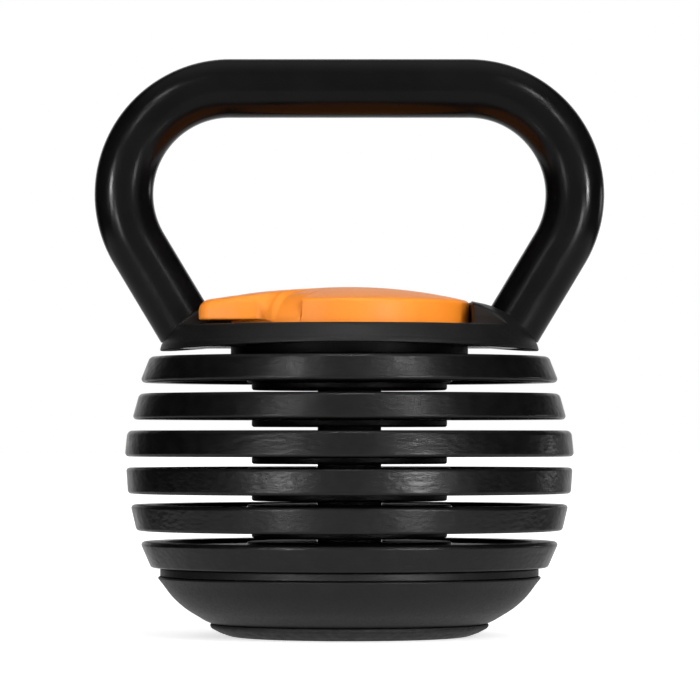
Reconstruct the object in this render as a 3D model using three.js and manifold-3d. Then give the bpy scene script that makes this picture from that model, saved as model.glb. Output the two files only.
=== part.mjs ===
// Adjustable kettlebell: six cast-iron plates slide onto a double-D post from the front, and a dial under
// the handle turns a camshaft inside the post whose lobes hold the plates in.
// Millimetres, +Z up, origin at the centre of the foot's underside. +X is to the right of a person facing
// the lever's side, which is -Y.
import * as THREE from "three";
import { mergeVertices } from "three/addons/utils/BufferGeometryUtils.js";
import Module from "manifold-3d";

const wasm = await Module();
wasm.setup();

// ---------------------------------------------------------------- driving dimensions

const GAP = 0.3; // between a piece and the one it touches
const DEG = Math.PI / 180;

// Handle: one bent round tube.
const TUBE_R = 15;
const TUBE_WALL = 2.5;
const BEND_R = 54.1; // centreline radius of each bend
const BEND_X = 61; // centre of each bend, either side of the middle
const BEND_Z = 225.4;
const LEG_LEAN = 31 * DEG; // the legs lean in towards their feet
const LEG_FOOT_Z = 149.7;

// Plates, lowest first: underside and topside radius of each.
const PLATE_RADII = [
  [101.0, 106.8],
  [108.4, 111.5],
  [112.8, 113.7],
  [114.4, 113.1],
  [110.7, 107.0],
  [106.8, 101.6],
];
const PLATE_THICK = 13.2;
const PLATE_PITCH = 18.8;
const STACK_Z = 35.2; // underside of the lowest plate
const PLATE_KG = 2.27;
const IRON_KG_PER_MM3 = 7.2e-6;
const RIM_WIDTH = 12.5; // flat band between a plate's edge and its recess
const HUB_R = 52; // flat middle of a plate
const EYE_R = 20.4; // hole in a plate around the post
const SLOT_HALF = 16.4; // half-width of the slot from the eye to the plate's back edge

// Post and its shelves.
const POST_R = 20;
const POST_FLAT_X = 16.1;
const POST_BORE_R = 11.5;
const POST_FOOT_Z = 26.3;
const POST_BORE_FLOOR_Z = 33;
const POST_TOP_Z = 146.9;
const SHELF_R = 49.8;
const SHELF_THICK = 3.5;

// Camshaft.
const SHAFT_R = 11;
const LOBE_R = 19.4;
const LOBE_HALF_ANGLE = 13 * DEG;
const LOBE_HEIGHT = 7;
const WINDOW_HEIGHT = 10;
const DIAL_TRAVEL = 110 * DEG;
const LOBE_LOCKED_AT = 180 * DEG;
const SQUARE = 12.8; // drive square at the shaft's top

// Base.
const FOOT_R = 70.9;
const FOOT_TOP_Z = 6.6;
const BOWL_FLOOR_Z = 6.9;
const SHELL = 3; // wall of the plastic mouldings
const LID_Z = 30.9;
const LID_R = 96.4;
const BOLT_R = 5;
const BOLT_HOLE_R = 5.3;

// Top housing, dial and lever.
const HOUSING_R = 96.7;
const HOUSING_FOOT_Z = 145.4;
const FRONT_ARCH = 2.8; // the lower edge is this much higher at the front than under the legs
const BACK_ARCH = 6.6;
const FLOOR_Z = 158; // floor of the dial's pocket
const POCKET_FROM = -168 * DEG;
const POCKET_TO = -26.2 * DEG;
const POCKET_FILL_TO = -4 * DEG; // the moulding is solid from the pocket's right end wall up to here
const WELL_R = 61.8;
const DIAL_R = 61;
const DIAL_RIM_Z = 169.5;
const DIAL_TOP_Z = 177.9;
const DIAL_CROWN_R = 255; // the dial's top is part of a sphere of this radius
const STRAP_Z = 147.2; // underside of the steel plate that the handle's legs stand on
const STRAP_TOP_Z = 149.4;
const STRAP_R = 91.5;
const STRAP_HALF_DEPTH = 31.5;
const NECK_R = 60.5;
const NECK_Z = 142.95;
const HOUSING_SCREWS = fourPlaces(42, 26);
const LID_SCREWS = fourPlaces(36, 32);

const FULL_SEGMENTS = 32;
const SMALL_SEGMENTS = 20;

function fourPlaces(x, y) {
  return [
    [x, y],
    [-x, y],
    [-x, -y],
    [x, -y],
  ];
}

// ---------------------------------------------------------------- materials

function finish(color, roughness, metalness = 0) {
  return new THREE.MeshStandardMaterial({ color, roughness, metalness });
}

const blackPaint = finish(0x17161a, 0.3);
const hammertone = finish(0x1c1b1b, 0.45);
const blackPlastic = finish(0x2a2929, 0.5);
const orangePlastic = finish(0xf27a1c, 0.45);
const bareSteel = finish(0x8a8c90, 0.35, 1);
const castIron = finish(0x333335, 0.75);
const blackRubber = finish(0x1d1d1d, 0.85);
const bronze = finish(0xa87b3c, 0.4, 1);

// ---------------------------------------------------------------- solids

// A closed three.js geometry as a solid that can be cut and joined.
function solidFrom(geometry) {
  geometry.deleteAttribute("normal");
  geometry.deleteAttribute("uv");
  const merged = mergeVertices(geometry, 1e-4);
  return new wasm.Manifold(
    new wasm.Mesh({
      numProp: 3,
      vertProperties: merged.attributes.position.array,
      triVerts: new Uint32Array(merged.index.array),
    }),
  );
}

function geometryFrom(solid) {
  const mesh = solid.getMesh();
  const geometry = new THREE.BufferGeometry();
  geometry.setAttribute("position", new THREE.BufferAttribute(mesh.vertProperties, 3));
  geometry.setIndex(new THREE.BufferAttribute(mesh.triVerts, 1));
  geometry.computeVertexNormals();
  return geometry;
}

// Turns an outline of [radius, z] points about Z. The outline runs with the solid on its left.
function turned(outline, segments = FULL_SEGMENTS) {
  const points = [...outline, outline[0]].map(([r, z]) => new THREE.Vector2(r, z));
  const geometry = new THREE.LatheGeometry(points, segments);
  geometry.rotateX(Math.PI / 2);
  return solidFrom(geometry);
}

function disc(radius, z0, z1, segments = SMALL_SEGMENTS) {
  const geometry = new THREE.CylinderGeometry(radius, radius, z1 - z0, segments);
  geometry.rotateX(Math.PI / 2);
  geometry.translate(0, 0, (z0 + z1) / 2);
  return solidFrom(geometry);
}

function block(x0, x1, y0, y1, z0, z1) {
  const geometry = new THREE.BoxGeometry(x1 - x0, y1 - y0, z1 - z0);
  geometry.translate((x0 + x1) / 2, (y0 + y1) / 2, (z0 + z1) / 2);
  return solidFrom(geometry);
}

// A flat outline raised from z0 to z1.
function raised(shape, z0, z1, curveSegments = 12) {
  const geometry = new THREE.ExtrudeGeometry(shape, {
    depth: z1 - z0,
    bevelEnabled: false,
    curveSegments,
  });
  geometry.translate(0, 0, z0);
  return solidFrom(geometry);
}

// A slice of a ring, from one azimuth to another.
function sector(rInner, rOuter, from, to, z0, z1, curveSegments = 12) {
  const shape = new THREE.Shape();
  shape.absarc(0, 0, rOuter, from, to, false);
  shape.absarc(0, 0, rInner, to, from, true);
  return raised(shape, z0, z1, curveSegments);
}

function plateBottom(index) {
  return STACK_Z + index * PLATE_PITCH;
}

// ---------------------------------------------------------------- handle

class HandleCentreline extends THREE.Curve {
  // s is the distance along the tube from the middle of the grip: grip, bend, leg.
  getPoint(t, target = new THREE.Vector3()) {
    const bendLength = BEND_R * (Math.PI / 2 + LEG_LEAN);
    const legLength = 62;
    const s = Math.abs(t - 0.5) * 2 * (BEND_X + bendLength + legLength);
    const angle = Math.min(Math.max(s - BEND_X, 0) / BEND_R, Math.PI / 2 + LEG_LEAN);
    const along = Math.max(s - BEND_X - bendLength, 0);
    const x = Math.min(s, BEND_X) + BEND_R * Math.sin(angle) - along * Math.sin(LEG_LEAN);
    const z = BEND_Z + BEND_R * Math.cos(angle) - along * Math.cos(LEG_LEAN);
    return target.set(Math.sign(t - 0.5) * x, 0, z);
  }
}

function ringPoints(radius, count) {
  return Array.from({ length: count }, (_, i) => {
    const angle = (-2 * Math.PI * i) / count;
    return new THREE.Vector2(radius * Math.cos(angle), radius * Math.sin(angle));
  });
}

function handleTube() {
  const section = new THREE.Shape();
  section.absarc(0, 0, TUBE_R, 0, 2 * Math.PI, false);
  section.holes.push(new THREE.Path(ringPoints(TUBE_R - TUBE_WALL, 10)));
  const geometry = new THREE.ExtrudeGeometry(section, {
    steps: 46,
    curveSegments: 10,
    extrudePath: new HandleCentreline(),
  });
  return solidFrom(geometry).subtract(block(-120, 120, -20, 20, 130, LEG_FOOT_Z));
}

// A round bar along one leg, used to open the housing around it.
function legBar(side, radius) {
  const length = 90;
  const geometry = new THREE.CylinderGeometry(radius, radius, length, 24);
  geometry.rotateX(Math.PI / 2);
  geometry.rotateY(side * LEG_LEAN);
  const angle = Math.PI / 2 + LEG_LEAN;
  const along = 35;
  const x = BEND_X + BEND_R * Math.sin(angle) - along * Math.sin(LEG_LEAN);
  const z = BEND_Z + BEND_R * Math.cos(angle) - along * Math.cos(LEG_LEAN);
  geometry.translate(side * x, 0, z);
  return solidFrom(geometry).subtract(block(-130, 130, -20, 20, 100, STRAP_TOP_Z));
}

function handleStrap() {
  const outline = block(-STRAP_R, STRAP_R, -STRAP_HALF_DEPTH, STRAP_HALF_DEPTH, STRAP_Z, STRAP_TOP_Z);
  let strap = outline.intersect(disc(STRAP_R, STRAP_Z - 1, STRAP_TOP_Z + 1, FULL_SEGMENTS));
  strap = strap.add(block(-8, 8, 20, 40, STRAP_Z, STRAP_TOP_Z)); // tab under the click stop
  strap = strap.subtract(disc(14, STRAP_Z - 1, STRAP_TOP_Z + 1));
  for (const [x, y] of HOUSING_SCREWS) {
    strap = strap.subtract(disc(2.6, STRAP_Z - 1, STRAP_TOP_Z + 1, 12).translate([x, y, 0]));
  }
  return strap;
}

// ---------------------------------------------------------------- top housing

const DOME = [
  [HOUSING_R, HOUSING_FOOT_Z],
  [95.6, 149.4],
  [87.9, 159.1],
  [82.9, 163.6],
  [71.8, 168.6],
  [63, 170.4],
  [WELL_R, 170.4],
];

// The moulding's inner side, from the pocket's floor outwards and down.
const DOME_INSIDE = [
  [WELL_R + SHELL, FLOOR_Z - SHELL],
  [WELL_R + SHELL, 167],
  [71, 165.2],
  [80.8, 160.4],
  [85.2, 156.9],
  [92.8, 149.8],
  [HOUSING_R - SHELL, HOUSING_FOOT_Z],
];

function topHousing() {
  const domeShell = turned([...DOME, [WELL_R, FLOOR_Z], [25, FLOOR_Z], [25, FLOOR_Z - SHELL],
    ...DOME_INSIDE]);
  const wide = 3 * DEG;
  const filled = turned([[0, FLOOR_Z - SHELL], [91, FLOOR_Z - SHELL], ...DOME.slice(2, 6), [0, 170.4]])
    .intersect(sector(50, 100, POCKET_FROM - wide, POCKET_FILL_TO, FLOOR_Z - SHELL, 175, 16));
  let housing = domeShell.add(filled);
  housing = housing.subtract(sector(20, 110, POCKET_FROM, POCKET_TO, FLOOR_Z, 180, 16));
  housing = housing.subtract(disc(WELL_R, FLOOR_Z, 180, FULL_SEGMENTS));
  // At the right the well's wall runs straight forward to the pocket's end wall.
  housing = housing.subtract(block(40, WELL_R, -31, 0, FLOOR_Z, 180));
  housing = housing.subtract(archedCut());
  for (const side of [-1, 1]) {
    housing = housing.subtract(legBar(side, TUBE_R + 0.5));
  }
  for (const [x, y] of HOUSING_SCREWS) {
    housing = housing.add(disc(5, LEG_FOOT_Z, FLOOR_Z - 1, 12).translate([x, y, 0]));
    housing = housing.subtract(disc(2.5, LEG_FOOT_Z - 1, FLOOR_Z - 1.5, 12).translate([x, y, 0]));
  }
  return housing;
}

// How much higher the lower edge is at that y than under the legs, where y = 0.
function archRise(y) {
  return (y < 0 ? FRONT_ARCH : BACK_ARCH) * (y / HOUSING_R) ** 2;
}

// What the lower edge loses: the space under the arch.
function archedCut() {
  const reach = HOUSING_R + 5;
  const bottom = HOUSING_FOOT_Z - 5;
  const shape = new THREE.Shape();
  shape.moveTo(-reach, bottom);
  const steps = 12;
  for (let i = steps; i >= 0; i--) {
    const y = (reach * (steps - 2 * i)) / steps;
    shape.lineTo(y, HOUSING_FOOT_Z + archRise(y) - 0.01);
  }
  shape.lineTo(reach, bottom);
  const geometry = new THREE.ExtrudeGeometry(shape, { depth: 2 * reach, bevelEnabled: false });
  geometry.rotateX(Math.PI / 2);
  geometry.rotateZ(Math.PI / 2);
  geometry.translate(-reach, 0, 0);
  return solidFrom(geometry);
}

function neckRing() {
  let ring = turned([[EYE_R, NECK_Z], [NECK_R, NECK_Z], [NECK_R, FLOOR_Z - SHELL - GAP],
    [NECK_R - SHELL, FLOOR_Z - SHELL - GAP], [NECK_R - SHELL, POST_TOP_Z], [EYE_R, POST_TOP_Z]]);
  const reach = STRAP_HALF_DEPTH + GAP;
  ring = ring.subtract(block(-70, 70, -reach, reach, POST_TOP_Z, STRAP_TOP_Z + GAP));
  for (const [x, y] of HOUSING_SCREWS) {
    ring = ring.subtract(disc(5.5, NECK_Z - 1, POST_TOP_Z + 1, 12).translate([x, y, 0]));
  }
  return ring;
}

// ---------------------------------------------------------------- post, shelves and camshaft

// A round bar with a flat on each side, wherever the radius passes the flat.
function doubleD(radius, flatX, z0, z1) {
  return disc(radius, z0, z1, 32).intersect(block(-flatX, flatX, -30, 30, z0, z1));
}

// Turning the lobes by the dial's travel brings them onto the X axis, past the slots' edges.
function lobeAngles() {
  const atRest = LOBE_LOCKED_AT - DIAL_TRAVEL;
  return [atRest, atRest + Math.PI];
}

function corePost() {
  let post = doubleD(POST_R, POST_FLAT_X, POST_FOOT_Z, POST_TOP_Z);
  post = post.subtract(disc(POST_BORE_R, POST_BORE_FLOOR_Z, POST_TOP_Z + 1, 24));
  post = post.subtract(disc(BOLT_HOLE_R, POST_FOOT_Z - 1, POST_BORE_FLOOR_Z + 1, 16));
  const spare = 3 * DEG;
  for (let i = 0; i < PLATE_RADII.length; i++) {
    const middle = plateBottom(i) + PLATE_THICK / 2;
    for (const angle of lobeAngles()) {
      const from = angle - LOBE_HALF_ANGLE - spare;
      const to = angle + DIAL_TRAVEL + LOBE_HALF_ANGLE + spare;
      const low = middle - WINDOW_HEIGHT / 2;
      post = post.subtract(sector(8, 30, from, to, low, low + WINDOW_HEIGHT, 5));
    }
  }
  return post;
}

function supportShelf(index) {
  const top = plateBottom(index) - GAP;
  const bottom = top - SHELF_THICK;
  const round = 1.2;
  const ring = turned([[10, bottom], [SHELF_R - round, bottom], [SHELF_R, bottom + round],
    [SHELF_R, top], [10, top]]);
  return ring.subtract(doubleD(POST_R + GAP, POST_FLAT_X + GAP, bottom - 1, top + 1));
}

function lockShaft() {
  const squareFrom = STRAP_TOP_Z + 2.1;
  let shaft = disc(SHAFT_R, POST_BORE_FLOOR_Z + 1.8, squareFrom, 24);
  const half = SQUARE / 2;
  shaft = shaft.add(block(-half, half, -half, half, squareFrom - 1, FLOOR_Z + 3));
  for (let i = 0; i < PLATE_RADII.length; i++) {
    const low = plateBottom(i) + (PLATE_THICK - LOBE_HEIGHT) / 2;
    for (const angle of lobeAngles()) {
      shaft = shaft.add(
        sector(5, LOBE_R, angle - LOBE_HALF_ANGLE, angle + LOBE_HALF_ANGLE, low, low + LOBE_HEIGHT, 3),
      );
    }
  }
  return shaft.subtract(disc(3, FLOOR_Z - 12, FLOOR_Z + 4, 12));
}

function thrustWasher() {
  const low = POST_BORE_FLOOR_Z + GAP;
  return disc(11, low, low + 1.2, 20).subtract(disc(6, low - 1, low + 2, 16));
}

function upperBushing() {
  return turned([[11.3, STRAP_Z + GAP], [13.6, STRAP_Z + GAP], [13.6, STRAP_TOP_Z + GAP],
    [17, STRAP_TOP_Z + GAP], [17, STRAP_TOP_Z + 1.8], [11.3, STRAP_TOP_Z + 1.8]], 24);
}

// ---------------------------------------------------------------- plates

// The recess on both faces is as deep as it takes to bring the plate to its weight.
function recessDepth([low, high]) {
  const meanR = (low + high) / 2;
  const blank = Math.PI * meanR ** 2 * PLATE_THICK;
  const slot = 2 * SLOT_HALF * meanR * PLATE_THICK + (Math.PI / 2) * EYE_R ** 2 * PLATE_THICK;
  const recessR = meanR - RIM_WIDTH - 1;
  const recessArea = Math.PI * (recessR ** 2 - HUB_R ** 2) - 2 * SLOT_HALF * (recessR - HUB_R);
  return (blank - slot - PLATE_KG / IRON_KG_PER_MM3) / (2 * recessArea);
}

function plate(index) {
  const [low, high] = PLATE_RADII[index];
  const z0 = plateBottom(index);
  const z1 = z0 + PLATE_THICK;
  const deep = recessDepth(PLATE_RADII[index]);
  const topRound = index < 3 ? 1.6 : 2.8; // the lower three flare towards a sharper top edge
  const bottomRound = 1.8;
  const draft = 2;
  let body = turned([
    [5, z0],
    [HUB_R, z0],
    [HUB_R, z0 + deep],
    [low - RIM_WIDTH - draft, z0 + deep],
    [low - RIM_WIDTH, z0],
    [low - bottomRound, z0],
    [low, z0 + bottomRound],
    [high, z1 - topRound],
    [high - topRound, z1],
    [high - RIM_WIDTH, z1],
    [high - RIM_WIDTH - draft, z1 - deep],
    [HUB_R, z1 - deep],
    [HUB_R, z1],
    [5, z1],
  ]);
  body = body.subtract(disc(EYE_R / Math.cos(Math.PI / 32), z0 - 1, z1 + 1, 32));
  return body.subtract(block(-SLOT_HALF, SLOT_HALF, 0, 130, z0 - 1, z1 + 1));
}

// ---------------------------------------------------------------- base

const BOWL = [
  [70.6, BOWL_FLOOR_Z],
  [73.6, 8.2],
  [83.8, 14.3],
  [90.5, 20.4],
  [94.9, 26.5],
  [98.2, LID_Z - GAP],
];

function footPad() {
  return turned([[0, 0], [60, 0], [65.8, 2], [70, 4.2], [FOOT_R, 5.2], [FOOT_R, FOOT_TOP_Z],
    [14, FOOT_TOP_Z], [14, 1.5], [0, 1.5]]);
}

function baseBowl() {
  const inside = [[95.2, LID_Z - GAP], [87, 20.4], [68, BOWL_FLOOR_Z + SHELL]];
  return turned([[BOLT_HOLE_R, BOWL_FLOOR_Z], ...BOWL, ...inside, [BOLT_HOLE_R, BOWL_FLOOR_Z + SHELL]]);
}

function baseBallast() {
  const low = BOWL_FLOOR_Z + SHELL + GAP;
  const high = LID_Z - GAP;
  let ballast = turned([[BOLT_HOLE_R, low], [50, low], [58, 14], [58, high], [BOLT_HOLE_R, high]]);
  ballast = ballast.subtract(doubleD(POST_R + GAP, POST_FLAT_X + GAP, POST_FOOT_Z - GAP, high + 1));
  for (const [x, y] of LID_SCREWS) {
    ballast = ballast.subtract(disc(2.8, 18, high + 1, 12).translate([x, y, 0]));
  }
  return ballast;
}

function baseLid() {
  const top = STACK_Z - GAP;
  let lid = turned([[5, LID_Z], [LID_R, LID_Z], [LID_R, top - 0.8], [LID_R - 0.8, top], [5, top]]);
  lid = lid.subtract(doubleD(POST_R + GAP, POST_FLAT_X + GAP, LID_Z - 1, top + 1));
  for (const [x, y] of LID_SCREWS) {
    const hole = turned([[0, LID_Z - 1], [2.8, LID_Z - 1], [2.8, top - 2.5], [5.3, top], [5.3, top + 1],
      [0, top + 1]], 12);
    lid = lid.subtract(hole.translate([x, y, 0]));
  }
  return lid;
}

function lidScrew([x, y]) {
  const top = STACK_Z - GAP - 0.2;
  return turned([[0, 19], [2.4, 19], [2.4, top - 2.7], [4.8, top], [0, top]], 12).translate([x, y, 0]);
}

function postBolt() {
  const headTop = 4.3;
  const head = disc(9.5, 1.8, headTop, 6);
  return head.add(disc(BOLT_R, headTop - 1, POST_BORE_FLOOR_Z - 1, 16));
}

function postWasher() {
  return disc(12, 4.6, FOOT_TOP_Z, 20).subtract(disc(BOLT_HOLE_R, 4, 7, 16));
}

// ---------------------------------------------------------------- dial

function crownHeight(radius) {
  return DIAL_TOP_Z - DIAL_CROWN_R + Math.sqrt(DIAL_CROWN_R ** 2 - radius ** 2);
}

const CROWN_EDGE_R = 58.6;

function dialCap() {
  const outer = [[DIAL_R, FLOOR_Z + 0.5], [DIAL_R, DIAL_RIM_Z]];
  for (const r of [CROWN_EDGE_R, 45, 30, 15, 0]) {
    outer.push([r, crownHeight(r)]);
  }
  const inner = [0, 30, 50].map((r) => [r, crownHeight(r) - SHELL]);
  let cap = turned([...outer, ...inner, [DIAL_R - SHELL, DIAL_RIM_Z - 2], [DIAL_R - SHELL, FLOOR_Z + 0.5]]);
  cap = cap.subtract(sector(50, 65, LEVER_TONGUE_FROM - 0.01, LEVER_TONGUE_TO + 0.01, 161.7, 166.8, 6));
  return cap;
}

const LEVER_TONGUE_FROM = -161 * DEG;
const LEVER_TONGUE_TO = -143 * DEG;

function dialLever() {
  const shape = new THREE.Shape();
  shape.moveTo(-44.6, -41.6);
  shape.lineTo(-40, -30);
  shape.lineTo(-50, -17.6);
  shape.lineTo(-73.5, -18.8);
  shape.quadraticCurveTo(-77.4, -20.5, -77.4, -26);
  shape.quadraticCurveTo(-77.2, -34, -71.5, -36.2);
  shape.lineTo(-44.6, -41.6);
  const wing = raised(shape, 160.3, 169.6, 5).subtract(disc(DIAL_R + GAP, 150, 180, FULL_SEGMENTS));
  return wing.add(sector(48, 64, LEVER_TONGUE_FROM, LEVER_TONGUE_TO, 162, 166.5, 6));
}

function dialHub() {
  let hub = turned([[5, 151.5], [24.4, 151.5], [24.4, FLOOR_Z + GAP], [44, FLOOR_Z + GAP],
    [44, FLOOR_Z + 3.3], [5, FLOOR_Z + 3.3]], 32);
  const half = SQUARE / 2 + GAP;
  hub = hub.subtract(block(-half, half, -half, half, 150, 163));
  for (const angle of [Math.PI / 2, Math.PI / 2 - DIAL_TRAVEL]) {
    const notch = disc(2.2, 150, FLOOR_Z, 12);
    hub = hub.subtract(notch.translate([25.4 * Math.cos(angle), 25.4 * Math.sin(angle), 0]));
  }
  return hub;
}

function dialWasher() {
  return disc(10.5, FLOOR_Z + 3.6, FLOOR_Z + 5.2, 20).subtract(disc(3.2, 160, 165, 12));
}

function dialScrew() {
  return disc(5, FLOOR_Z + 5.5, FLOOR_Z + 9, 16).add(disc(2.7, FLOOR_Z - 9, FLOOR_Z + 6, 12));
}

// ---------------------------------------------------------------- click stop

const DETENT_Z = 152.2;
const DETENT_BORE_R = 2.1;

function alongY(radius, y0, y1, segments) {
  const geometry = new THREE.CylinderGeometry(radius, radius, y1 - y0, segments);
  geometry.translate(0, (y0 + y1) / 2, DETENT_Z);
  return solidFrom(geometry);
}

function detentBlock() {
  return block(-5, 5, 27.2, 39.6, LEG_FOOT_Z, FLOOR_Z - SHELL - GAP)
    .subtract(alongY(DETENT_BORE_R, 26, 37, 16));
}

function detentBall() {
  const geometry = new THREE.SphereGeometry(1.8, 12, 8);
  geometry.translate(0, 26.6, DETENT_Z);
  return solidFrom(geometry);
}

class SpringWire extends THREE.Curve {
  getPoint(t, target = new THREE.Vector3()) {
    const angle = t * 2 * Math.PI * 5;
    return target.set(1.4 * Math.cos(angle), 29 + 7.4 * t, DETENT_Z + 1.4 * Math.sin(angle));
  }
}

function detentSpring() {
  const wire = new THREE.Shape();
  wire.absarc(0, 0, 0.35, 0, 2 * Math.PI, false);
  return solidFrom(
    new THREE.ExtrudeGeometry(wire, { steps: 36, curveSegments: 3, extrudePath: new SpringWire() }),
  );
}

function housingScrew([x, y]) {
  const head = disc(4.6, 143.2, POST_TOP_Z, 12);
  return head.add(disc(2.2, POST_TOP_Z - 1, FLOOR_Z - 2, 12)).translate([x, y, 0]);
}

// ---------------------------------------------------------------- assembly

const kettlebell = new THREE.Group();

function place(name, solid, material) {
  const mesh = new THREE.Mesh(geometryFrom(solid), material);
  mesh.name = name;
  kettlebell.add(mesh);
}

place("handle_tube", handleTube(), blackPaint);
place("handle_strap", handleStrap(), blackPaint);
place("top_housing", topHousing(), blackPlastic);
place("neck_ring", neckRing(), blackPlastic);
place("core_post", corePost(), blackPaint);
place("foot_pad", footPad(), blackRubber);
place("base_bowl", baseBowl(), blackPlastic);
place("base_ballast", baseBallast(), castIron);
place("base_lid", baseLid(), blackPlastic);
place("post_bolt", postBolt(), bareSteel);
place("post_washer", postWasher(), bareSteel);
place("thrust_washer", thrustWasher(), bronze);
place("upper_bushing", upperBushing(), bronze);
place("detent_block", detentBlock(), bareSteel);
place("detent_ball", detentBall(), bareSteel);
place("detent_spring", detentSpring(), bareSteel);

place("lock_shaft", lockShaft(), bareSteel);
place("dial_hub", dialHub(), blackPlastic);
place("dial_washer", dialWasher(), bareSteel);
place("dial_screw", dialScrew(), bareSteel);
place("dial_cap", dialCap(), orangePlastic);
place("dial_lever", dialLever(), orangePlastic);

// Plates and shelves are numbered from the top, as they are loaded.
for (let i = 0; i < PLATE_RADII.length; i++) {
  const fromTop = PLATE_RADII.length - i;
  place(`plate_${fromTop}`, plate(i), hammertone);
  if (i > 0) {
    place(`support_shelf_${fromTop}`, supportShelf(i), blackPaint);
  }
}

HOUSING_SCREWS.forEach((at, i) => place(`housing_screw_${i + 1}`, housingScrew(at), bareSteel));
LID_SCREWS.forEach((at, i) => place(`lid_screw_${i + 1}`, lidScrew(at), bareSteel));

export default kettlebell;
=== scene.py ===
"""Adjustable kettlebell: bent tube handle, domed housing with a dial, six iron plates on a post, bowl base.

Shapes are worked out in millimetres and the meshes are in metres. +Z is up, the lever's side is -Y, and an
azimuth is an angle about Z from +X. A section is a closed outline of [radius, height] points. Every new piece
is a grid of points: rows follow its section and columns go round, or, on the handle, rows follow the tube.
"""

import bmesh
import bpy
import numpy as np
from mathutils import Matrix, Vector


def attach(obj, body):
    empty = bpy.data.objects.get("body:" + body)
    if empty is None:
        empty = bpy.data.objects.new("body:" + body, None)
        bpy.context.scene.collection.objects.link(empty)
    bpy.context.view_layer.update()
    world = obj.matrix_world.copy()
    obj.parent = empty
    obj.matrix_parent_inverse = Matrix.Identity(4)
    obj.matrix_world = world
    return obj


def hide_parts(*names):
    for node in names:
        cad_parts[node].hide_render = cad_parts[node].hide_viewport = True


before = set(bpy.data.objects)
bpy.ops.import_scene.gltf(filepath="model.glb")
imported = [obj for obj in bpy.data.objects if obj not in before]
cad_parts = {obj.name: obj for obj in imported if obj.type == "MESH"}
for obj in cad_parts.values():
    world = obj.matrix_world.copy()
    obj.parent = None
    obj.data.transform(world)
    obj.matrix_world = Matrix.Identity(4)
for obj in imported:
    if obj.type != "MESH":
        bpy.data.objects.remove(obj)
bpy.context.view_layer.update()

DEG = np.pi / 180
MM = 0.001
MERGE_DISTANCE = 2e-6
SHARP_ANGLE = 38 * DEG
GAP = 0.3  # between a piece and the one it touches
SHELL = 3.0  # wall of the plastic mouldings


# ---------------------------------------------------------------- materials


class Finish:
    """A material's node tree, with short calls for the nodes that the finishes below share."""

    def __init__(self, name, roughness, metallic=0.0, specular=0.5):
        self.material = bpy.data.materials.new(name)
        self.material.use_nodes = True
        self.nodes = self.material.node_tree.nodes
        self.links = self.material.node_tree.links
        self.shader = self.nodes["Principled BSDF"]
        self.shader.inputs["Roughness"].default_value = roughness
        self.shader.inputs["Metallic"].default_value = metallic
        self.shader.inputs["Specular IOR Level"].default_value = specular
        self.place = self.nodes.new("ShaderNodeTexCoord").outputs["Object"]

    def stretched(self, scale):
        """Object coordinates with each axis multiplied by its own scale."""
        mapping = self.nodes.new("ShaderNodeMapping")
        mapping.inputs["Scale"].default_value = scale
        self.links.new(self.place, mapping.inputs["Vector"])
        return mapping.outputs["Vector"]

    def noise(self, scale, detail, roughness=0.5, place=None):
        """Cloudy noise with about that many lumps to the metre, and as many finer layers as detail says."""
        node = self.nodes.new("ShaderNodeTexNoise")
        node.inputs["Scale"].default_value = scale
        node.inputs["Detail"].default_value = detail
        node.inputs["Roughness"].default_value = roughness
        self.links.new(place or self.place, node.inputs["Vector"])
        return node.outputs["Fac"]

    def cells(self, scale):
        """Distance to the nearest of scattered points, smoothed, which gives round dimples."""
        node = self.nodes.new("ShaderNodeTexVoronoi")
        node.feature = "SMOOTH_F1"
        node.inputs["Scale"].default_value = scale
        node.inputs["Smoothness"].default_value = 0.7
        self.links.new(self.place, node.inputs["Vector"])
        return node.outputs["Distance"]

    def colours(self, value, *stops):
        """Base colour from a value: stops are (value, (red, green, blue))."""
        node = self.nodes.new("ShaderNodeValToRGB")
        for element, (at, colour) in zip(node.color_ramp.elements, stops):
            element.position = at
            element.color = (*colour, 1)
        self.links.new(value, node.inputs["Fac"])
        self.links.new(node.outputs["Color"], self.shader.inputs["Base Color"])

    def rough(self, value, low, high):
        """Roughness from low to high, as the value goes over the middle part of its range."""
        node = self.nodes.new("ShaderNodeMapRange")
        for key, amount in (("From Min", 0.3), ("From Max", 0.7), ("To Min", low), ("To Max", high)):
            node.inputs[key].default_value = amount
        self.links.new(value, node.inputs["Value"])
        self.links.new(node.outputs["Result"], self.shader.inputs["Roughness"])

    def bumps(self, *layers):
        """Stacked bumps, coarse first: each layer is (height, strength, depth in metres)."""
        normal = None
        for height, strength, depth in layers:
            node = self.nodes.new("ShaderNodeBump")
            node.inputs["Strength"].default_value = strength
            node.inputs["Distance"].default_value = depth
            self.links.new(height, node.inputs["Height"])
            if normal:
                self.links.new(normal, node.inputs["Normal"])
            normal = node.outputs["Normal"]
        self.links.new(normal, self.shader.inputs["Normal"])


def black_paint():
    """Gloss powder coat: orange-peel ripple of about a millimetre, and a slow drift in gloss."""
    f = Finish("black_paint", 0.24, specular=0.23)
    f.colours(f.noise(35, 2), (0.35, (0.0022, 0.002, 0.0021)), (0.65, (0.004, 0.0036, 0.0037)))
    f.rough(f.noise(60, 3), 0.18, 0.27)
    f.bumps((f.noise(750, 2), 0.07, 0.0003), (f.noise(2600, 2), 0.05, 0.0001))
    return f.material


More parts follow.
